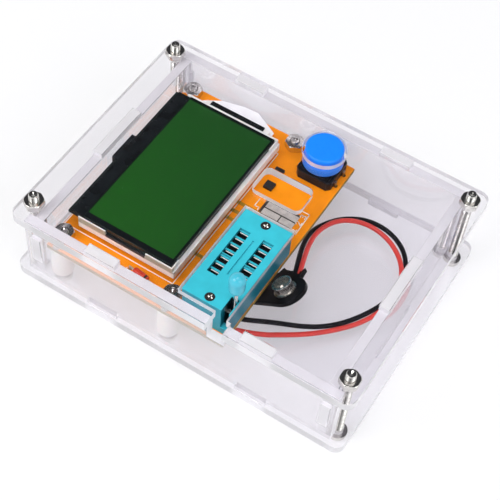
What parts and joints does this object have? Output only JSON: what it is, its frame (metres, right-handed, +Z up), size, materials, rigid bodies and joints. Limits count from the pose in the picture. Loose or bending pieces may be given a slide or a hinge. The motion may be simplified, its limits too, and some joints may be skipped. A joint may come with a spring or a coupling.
{
  "type": "component tester",
  "caption": "Flat clear acrylic case with a circuit board, dark display, lever-operated test socket and push button, beside an open bay with a two-lead battery snap.",
  "frame": {"origin": "under the middle of the case outline, on the surface that the screw heads stand on", "axes": "+X to the right along the long front edge, +Y to the back, +Z up through the top panel"},
  "size_m": [0.111, 0.084, 0.0417],
  "materials": {
    "clear_acrylic": "clear polished sheet with bright cut edges",
    "screw_steel": "nickel-plated",
    "nylon_white": "white nylon",
    "board_orange": "orange solder mask",
    "foam_grey": "soft foam",
    "reflector_white": "white film",
    "light_frame": "pale moulded plastic",
    "display_glass": "polished",
    "display_green": "dark green film with a black border",
    "display_black": "black coating",
    "socket_turquoise": "moulded",
    "contact_tin": "tinned",
    "lever_steel": "plated wire",
    "knob_blue": "pale translucent",
    "switch_black": "moulded",
    "cap_blue": "smooth",
    "chip_black": "moulded",
    "chip_ceramic": "ceramic",
    "diode_red": "red glass",
    "snap_vinyl": "soft vinyl",
    "lead_red": "red insulation",
    "lead_black": "black insulation"
  },
  "bodies": {
    "case": {"bottom_panel": "clear_acrylic", "top_panel": "clear_acrylic", "front_panel": "clear_acrylic", "back_panel": "clear_acrylic", "left_panel": "clear_acrylic", "right_panel": "clear_acrylic", "case_screws": "screw_steel", "case_nuts": "screw_steel", "circuit_board": "board_orange", "board_spacers": "nylon_white", "board_screws": "screw_steel", "board_nuts": "screw_steel", "lcd_foam_pads": "foam_grey", "lcd_reflector": "reflector_white", "lcd_backlight": "light_frame", "backlight_led_board": "display_black", "lcd_rear_glass": "display_glass", "lcd_front_glass": "display_glass", "lcd_polariser": "display_green", "lcd_driver_coat": "display_black", "lcd_flex": "display_black", "socket_base": "socket_turquoise", "socket_cover": "socket_turquoise", "socket_contacts": "contact_tin", "socket_screws": "screw_steel", "switch_base": "switch_black", "switch_plate": "switch_black", "switch_dome": "contact_tin", "switch_terminals": "contact_tin", "test_pads": "contact_tin", "reference_chip": "chip_black", "power_transistor": "chip_black", "microcontroller": "chip_black", "crystal": "contact_tin", "voltage_regulator": "chip_black", "chip_resistors": "chip_black", "chip_capacitors": "chip_ceramic", "diode_body": "diode_red", "diode_leads": "contact_tin", "snap_shell": "snap_vinyl", "snap_stud": "screw_steel", "snap_socket": "screw_steel", "black_lead": "lead_black", "red_lead": "lead_red", "lead_solder": "contact_tin"},
    "lever": {"socket_lever": "lever_steel", "lever_knob": "knob_blue"},
    "slider": {"socket_slider": "switch_black"},
    "button": {"button_cap": "cap_blue", "switch_plunger": "switch_black"}
  },
  "joints": [
    {"name": "lever_swing", "type": "hinge", "parent": "case", "child": "lever", "pos_m": [0.01305, -0.03083, 0.0232], "axis": [1, 0, 0], "range_deg": [0, 90]},
    {"name": "slider_shift", "type": "slide", "parent": "case", "child": "slider", "axis": [0, -1, 0], "range_m": [0, 0.000905]},
    {"name": "button_press", "type": "slide", "parent": "case", "child": "button", "axis": [0, 0, -1], "range_m": [0, 0.0003], "stiffness_N_per_m": 3000}
  ],
  "couplings": [
    {"joint": "lever_swing", "follows": "slider_shift", "rad_per_m": 1735.5}
  ]
}
